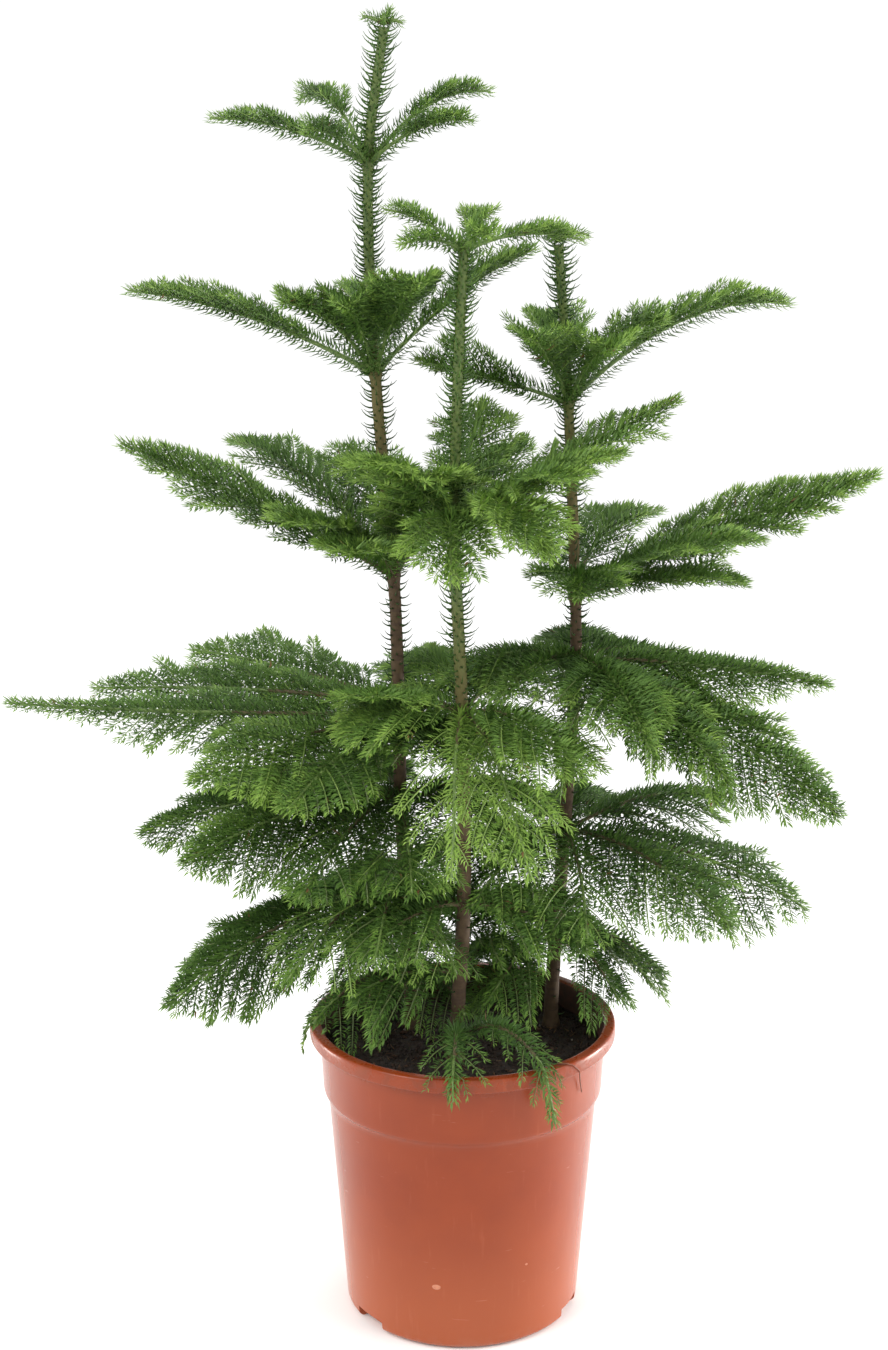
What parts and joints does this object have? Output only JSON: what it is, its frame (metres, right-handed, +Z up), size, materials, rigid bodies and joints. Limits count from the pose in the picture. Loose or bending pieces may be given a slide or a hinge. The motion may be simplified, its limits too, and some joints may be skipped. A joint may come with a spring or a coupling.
{
  "type": "potted norfolk island pine",
  "caption": "Young indoor conifer clump: slim upright stems with tiers of flat feathery branches, growing in a round nursery pot with a deep rolled collar.",
  "frame": {"origin": "middle of the pot's flat underside", "axes": "+Z up along the pot's axis, -Y towards the front, +X to the right as seen from the front"},
  "size_m": [0.5918, 0.3372, 0.8756],
  "materials": {
    "pot": "moulded terracotta-coloured plastic, satin to gloss",
    "compost": "dark crumbly potting compost, matt",
    "bark": "rough brown bark, green towards the tips, matt",
    "needles": "fresh green awl-shaped needles, satin"
  },
  "bodies": {
    "root": {"bough_left_3a": "bark", "bough_left_4a": "bark", "bough_left_6a": "bark", "bough_left_6b": "bark", "bough_left_9a": "bark", "bough_middle_2a": "bark", "bough_right_2a": "bark", "bough_right_3a": "bark", "bough_right_5a": "bark", "bough_right_6a": "bark", "foliage_left_10a": "needles", "foliage_left_1a": "needles", "foliage_left_2a": "needles", "foliage_left_2b": "needles", "foliage_left_3a": "needles", "foliage_left_3b": "needles", "foliage_left_3c": "needles", "foliage_left_4a": "needles", "foliage_left_4b": "needles", "foliage_left_4c": "needles", "foliage_left_4d": "needles", "foliage_left_5a": "needles", "foliage_left_6a": "needles", "foliage_left_6b": "needles", "foliage_left_7a": "needles", "foliage_left_8a": "needles", "foliage_left_8b": "needles", "foliage_left_9a": "needles", "foliage_left_9b": "needles", "foliage_left_9c": "needles", "foliage_middle_1a": "needles", "foliage_middle_1b": "needles", "foliage_middle_2a": "needles", "foliage_middle_2b": "needles", "foliage_middle_2c": "needles", "foliage_middle_3a": "needles", "foliage_middle_3b": "needles", "foliage_middle_3c": "needles", "foliage_middle_4a": "needles", "foliage_middle_5a": "needles", "foliage_middle_6a": "needles", "foliage_right_1a": "needles", "foliage_right_2a": "needles", "foliage_right_2b": "needles", "foliage_right_2c": "needles", "foliage_right_3a": "needles", "foliage_right_3b": "needles", "foliage_right_4a": "needles", "foliage_right_5a": "needles", "foliage_right_5b": "needles", "foliage_right_5c": "needles", "foliage_right_6a": "needles", "foliage_right_7a": "needles", "foliage_right_7b": "needles", "foliage_right_8a": "needles", "pot": "pot", "soil": "compost", "stem_left": "bark", "stem_middle": "bark", "stem_right": "bark"}
  },
  "joints": []
}
